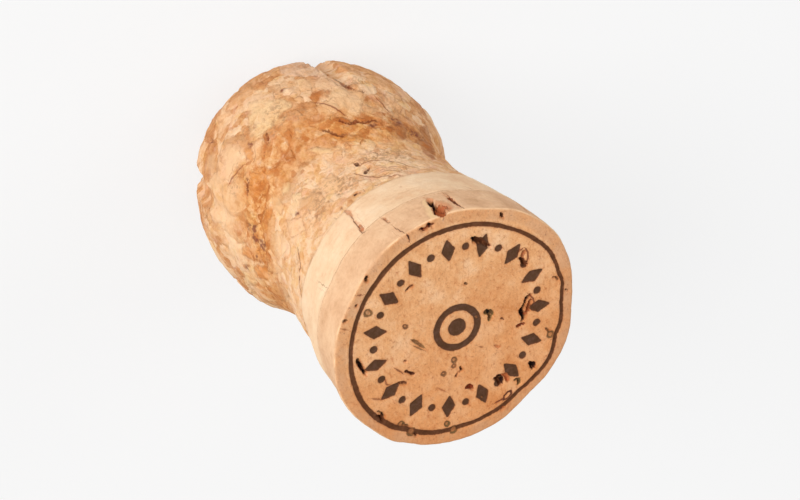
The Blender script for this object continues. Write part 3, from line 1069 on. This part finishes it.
def tan_natural_cork():
    """The end disc: a pinkish-tan side, an orange-tan wine-soaked face, and the hot brand on it."""
    material, nodes, at, colour, mottle, rings = natural_disc(
        "tan natural cork", (216, 165, 123), (234, 187, 145), (244, 202, 160))
    above = nodes.parts(at)[2] - END_Z
    colour = colour.lay((247, 208, 167), above.eased(0.9, 0.0) * mottle.eased(0.35, 0.6) * 0.6)
    soft = nodes.noise(nodes.push(at, 2.0, 71.0, 0.7), 3.2, 72.0, 4.0, 0.6)
    wine = soft.ramp((0.3, 228, 158, 100), (0.5, 244, 182, 126), (0.70, 254, 206, 160))
    # Fine grain lines run across the face.
    along = nodes.rotated(nodes.push(at, 2.5, 79.0, 0.3), (0.0, 0.0, 1.0), math.radians(-GRAIN_TURN))
    lines = nodes.noise(nodes.vector("MULTIPLY", along, (0.16, 1.0, 1.0)), 0.26, 77.0, 2.0, 0.6)
    grit = nodes.noise(at, 0.20, 78.0, 2.0, 0.6)
    hairs_at = nodes.vector("MULTIPLY", nodes.push(at, 1.5, 76.0, 0.5), (2.2, 1.0, 1.0))
    hairs = nodes.noise(hairs_at, 0.7, 73.0, 5.0, 0.75)
    for texture, low, high, share, tint in (
        (hairs, 0.53, 0.68, 0.60, (202, 118, 62)),
        (hairs, 0.47, 0.34, 0.60, (252, 202, 152)),
        (mottle, 0.54, 0.70, 0.60, (186, 112, 64)),
        (lines, 0.52, 0.74, 0.40, (202, 122, 70)),
        (grit, 0.52, 0.76, 0.45, (178, 104, 62)),
        (grit, 0.46, 0.24, 0.35, (255, 214, 160)),
    ):
        wine = wine.lay(tint, texture.eased(low, high) * share)
    # One side of the face has soaked up more.
    across = nodes.vector("DOT_PRODUCT", at, (0.3, 0.95, 0.0), "Value")
    wine = wine.lay((245, 226, 208), across.eased(-9.0, 9.0) * 0.9, "MULTIPLY")
    # Outside the ring the face is a little darker and greyer, up to a pale worn edge.
    radius = nodes.vector("LENGTH", nodes.vector("MULTIPLY", at, (1.0, 1.0, 0.0)), output="Value")
    outer = radius.eased(RING_R + 0.1, RING_R + 0.6)
    wine = wine.lay((204, 148, 108), outer * soft.eased(0.4, 0.6).between(0.2, 0.5))
    specks = nodes.noise(at, 0.5, 80.0, 3.0, 0.7).eased(0.60, 0.68)
    wine = wine.lay((150, 94, 66), outer * specks * 0.65)
    face = nodes.attribute("face")
    colour = colour.lay(paint_pores(nodes, wine, at), face)
    worn = face.eased(0.0, 0.4) * face.eased(1.0, 0.7)
    colour = colour.lay((250, 206, 160), worn * soft.eased(0.62, 0.42))
    # The brand, whose ink is patchy and redder along its edges, and is missing in the pores.
    near = nodes.attribute("brand") + (nodes.noise(at, 0.35, 74.0) - 0.5) * 0.16
    patchy = nodes.noise(at, 0.6, 75.0, 4.0, 0.7)
    burn = patchy.ramp((0.36, 62, 36, 14), (0.50, 74, 46, 28), (0.64, 86, 58, 46))
    ring_burn = patchy.ramp((0.36, 66, 32, 6), (0.50, 80, 42, 16), (0.64, 100, 58, 34))
    burn = burn.lay(ring_burn, nodes.attribute("ring"))
    rim = near.eased(-0.16, -0.02) * nodes.noise(at, 1.4, 81.0).eased(0.35, 0.6)
    burn = burn.lay((104, 52, 26), rim * 0.7)
    in_pore = nodes.attribute("pore").eased(0.02, -0.08)
    colour = colour.lay((180, 104, 56), near.eased(0.28, 0.0) * 0.35)
    colour = colour.lay(burn, near.eased(0.05, -0.03) * in_pore.between(0.94, 0.25))
    bumps = mottle * 0.07 + rings * 0.05 + hairs * 0.07 + face * (grit * 0.02 + lines * 0.012)
    surface(nodes, colour, bumps, 0.8)
    return material


# ---------------------------------------------------------------- the three pieces
ATTRIBUTE_KINDS = {1: ("FLOAT", "value"), 3: ("FLOAT_VECTOR", "vector"), 4: ("FLOAT_COLOR", "color")}


def make_mesh(name, points, faces, attributes):
    mesh = bpy.data.meshes.new(name)
    mesh.from_pydata((points * MM).tolist(), [], faces)
    for key, values in attributes.items():
        kind, field = ATTRIBUTE_KINDS[values.shape[1] if values.ndim == 2 else 1]
        layer = mesh.attributes.new(key, kind, "POINT")
        layer.data.foreach_set(field, np.ascontiguousarray(values, np.float32).ravel())
    # The caps that lie inside the cork are flat, so that the sides keep their shading up to the seams.
    corners = np.array([points[face[:3], 2] for face in faces])
    caps = np.all(np.isin(corners, (INNER_Z, END_Z)), axis=1)
    mesh.polygons.foreach_set("use_smooth", ~caps)
    return mesh


def side_outline(start, end, step):
    """The outline of the cork's side from one height to another."""
    return [(float(cork_radius(z)), z) for z in spaced(start, end, step)]


def cap(z):
    """The outline of a flat glued face, from the axis outwards."""
    return [(radius, z) for radius in CAP_RINGS]


def quarter(step):
    """Angles from 0 to a right angle, without the first."""
    return spaced(0.0, math.pi / 2, step)[1:]


def piece_attributes(points, marks, *seams):
    """Attributes that every piece has: where it was as turned, its marks and stains, and its relief."""
    from_seam = np.min([np.abs(points[:, 2] - seam) for seam in seams], axis=0)
    flake, flake_edge = flake_tints(points)
    return {
        "rest": points, "pore": marks.near, "pore_hue": marks.hue, "pore_dark": marks.dark,
        "line": marks.line, "line_half": marks.line_half, "line_hue": marks.line_hue,
        "line_dark": marks.line_dark, "band": waist_band(points), "neck": neck_share(points),
        "relief": ease(from_seam / SEAM_FADE), "flake": flake, "flake_edge": flake_edge,
        **stain_amounts(points),
    }


def body_piece():
    """The moulded head and neck."""
    crown = [(r, 0.0) for r in spaced(0.0, CROWN_R, CROWN_STEP)]
    shoulder = [
        (CROWN_R + (HEAD_R - CROWN_R) * math.sin(a), HEAD_H * (1.0 - math.cos(a)))
        for a in quarter(SHOULDER_STEP)
    ]
    side = side_outline(HEAD_H, INNER_Z, SIDE_STEP)[1:]
    points, faces = turned(crown + shoulder + side + cap(INNER_Z)[::-1], BODY_TURNS)
    uneven = out_of_round(points)
    marks = side_marks(uneven)
    shaped = swell(shrink_side(press_wires(uneven), marks))
    return make_mesh("granulated_body", shaped, faces, piece_attributes(points, marks, INNER_Z, 0.0))


def inner_piece():
    """The inner natural disc, between the body and the end disc."""
    side = side_outline(INNER_Z, END_Z, DISC_STEP)
    points, faces = turned(cap(INNER_Z) + side + cap(END_Z)[::-1], INNER_TURNS)
    uneven = out_of_round(points)
    marks = side_marks(uneven)
    shaped = swell(shrink_side(uneven, marks))
    return make_mesh("inner_disc", shaped, faces, piece_attributes(points, marks, INNER_Z, END_Z))


def end_piece():
    """The end disc, with its pores and the brand sunk into its face."""
    edge_z = LENGTH - RIM_ROUND
    edge_r = float(cork_radius(edge_z))
    side = side_outline(END_Z, edge_z, DISC_STEP)
    rim = [
        (edge_r - RIM_ROUND * (1.0 - math.cos(a)), edge_z + RIM_ROUND * math.sin(a))
        for a in quarter(RIM_STEP)
    ]
    face = [(r, LENGTH) for r in spaced(edge_r - RIM_ROUND, 0.0, FACE_STEP)[1:]]
    points, faces = turned(cap(END_Z) + side + rim + face, END_TURNS)
    uneven = out_of_round(points)
    on_face = ease((uneven[:, 2] - edge_z) / RIM_ROUND)
    flat = uneven[:, 2] > LENGTH - ON_FACE
    sides = side_marks(uneven)
    marks = face_marks(uneven)
    ring = ring_distance(uneven)
    motif = motif_distance(uneven)
    brand = np.where(flat, np.minimum(ring, motif), 1.0)
    pressed = BRAND_DEPTH * ease(0.5 - brand / BRAND_SLOPE)
    shaped = swell(shrink_side(uneven, sides))
    shaped[:, 2] -= np.maximum(marks.depth, pressed) * flat
    marks.take(sides, (on_face < 0.5) | (sides.near < np.minimum(marks.near, CRACK_NEAR)))
    values = piece_attributes(points, marks, END_Z)
    values.update(face=on_face, brand=brand, ring=ease(0.5 + (motif - ring) / INK_FADE))
    return make_mesh("end_disc", shaped, faces, values)


def put(name, data):
    """A new object in the scene."""
    thing = bpy.data.objects.new(name, data)
    bpy.context.scene.collection.objects.link(thing)
    return thing


def with_relief(mesh, name, tree, cork, settings):
    """The piece, with the relief tree's result as its plain mesh."""
    piece = put(name, mesh)
    modifier = piece.modifiers.new("relief", "NODES")
    modifier.node_group = tree
    settings = dict(settings, Cork=cork)
    for item in tree.interface.items_tree:
        if item.in_out == "INPUT" and item.name in settings:
            modifier[item.identifier] = settings[item.name]
    depsgraph = bpy.context.evaluated_depsgraph_get()
    result = bpy.data.meshes.new_from_object(
        piece.evaluated_get(depsgraph), preserve_all_data_layers=True, depsgraph=depsgraph)
    piece.modifiers.clear()
    piece.data = result
    result.name = name
    return piece


def build_cork():
    tree = relief_tree()
    for node, make, finish, slot, settings in (
        ("granulated_body", body_piece, granulated_cork, "granulated_cork", BODY_RELIEF),
        ("inner_disc", inner_piece, pale_natural_cork, "pale_natural_cork", DISC_RELIEF),
        ("end_disc", end_piece, tan_natural_cork, "tan_natural_cork", DISC_RELIEF),
    ):
        piece = with_relief(make(), "cork_" + node, tree, finish(), settings)
        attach(piece, "root")
        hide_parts(node)


# ---------------------------------------------------------------- camera, floor and light
CAMERA_AT = Vector((-1.484, -222.127, 306.380)) * MM
CAMERA_DOWN = 51.2175
CAMERA_ROLL = 136.32
LENS = 135.0
FLOOR_SIZE = 30.0
BACKDROP = 0.93
# Softboxes: (name, turn, rise, distance, size, power).
SOFTBOXES = (
    ("key softbox", -65.0, 34.0, 1.6, 0.9, 18.0),
    ("fill softbox", 165.0, 28.0, 2.2, 1.6, 10.0),
)
FILL = 0.46


def add_camera():
    camera = put("camera", bpy.data.cameras.new("camera"))
    camera.data.lens = LENS
    camera.data.clip_start = 0.01
    tilt = Matrix.Rotation(math.radians(90.0 - CAMERA_DOWN), 4, "X")
    roll = Matrix.Rotation(math.radians(CAMERA_ROLL), 4, "Z")
    camera.matrix_world = Matrix.Translation(CAMERA_AT) @ tilt @ roll
    bpy.context.scene.camera = camera


def add_floor():
    """A plain pale floor that the camera sees nearly white, with a light shadow."""
    half = FLOOR_SIZE / 2
    mesh = bpy.data.meshes.new("floor")
    corners = [(-half, -half, 0), (half, -half, 0), (half, half, 0), (-half, half, 0)]
    mesh.from_pydata(corners, [], [(0, 1, 2, 3)])
    floor = put("floor", mesh)
    material, nodes = new_material("pale floor")
    seen = nodes.one("ShaderNodeLightPath", {}, "Is Camera Ray")
    bounced = nodes.one("ShaderNodeBsdfDiffuse", {"Color": (0.8, 0.8, 0.8, 1.0)})
    # Away from the cork the floor takes less of the softboxes' light and glows more, so that it meets the
    # backdrop evenly.
    place = nodes.one("ShaderNodeTexCoord", {}, "Object")
    far = nodes.vector("LENGTH", place, output="Value").eased(0.3, 1.5)
    shadowed = nodes.one("ShaderNodeBsdfDiffuse", {"Color": far.between(0.20, 0.03)})
    glow = nodes.one("ShaderNodeEmission", {"Color": WHITE, "Strength": far.between(0.75, 0.905)})
    shown = nodes.one("ShaderNodeAddShader", {0: shadowed, 1: glow})
    mixed = nodes.one("ShaderNodeMixShader", {0: seen, 1: bounced, 2: shown})
    nodes.add("ShaderNodeOutputMaterial", {"Surface": mixed})
    mesh.materials.append(material)


def add_light():
    world = bpy.data.worlds.new("studio")
    bpy.context.scene.world = world
    world.use_nodes = True
    world.node_tree.nodes.clear()
    nodes = Nodes(world.node_tree)
    seen = nodes.one("ShaderNodeLightPath", {}, "Is Camera Ray")
    fill = nodes.one("ShaderNodeBackground", {"Color": WHITE, "Strength": FILL})
    backdrop = nodes.one("ShaderNodeBackground", {"Color": WHITE, "Strength": BACKDROP})
    mixed = nodes.one("ShaderNodeMixShader", {0: seen, 1: fill, 2: backdrop})
    nodes.add("ShaderNodeOutputWorld", {"Surface": mixed})
    for name, turn, rise, distance, size, power in SOFTBOXES:
        lamp = bpy.data.lights.new(name, "AREA")
        lamp.shape = "DISK"
        lamp.size = size
        lamp.energy = power
        softbox = put(name, lamp)
        turn = math.radians(turn)
        rise = math.radians(rise)
        away = Vector((math.cos(turn) * math.cos(rise), math.sin(turn) * math.cos(rise), math.sin(rise)))
        softbox.location = Vector((0.0, 0.0, LENGTH / 2 * MM)) + away * distance
        softbox.rotation_euler = away.to_track_quat("Z", "Y").to_euler()


# ---------------------------------------------------------------- the scene
bpy.context.scene.view_settings.view_transform = "Standard"
add_camera()
add_floor()
add_light()
build_cork()
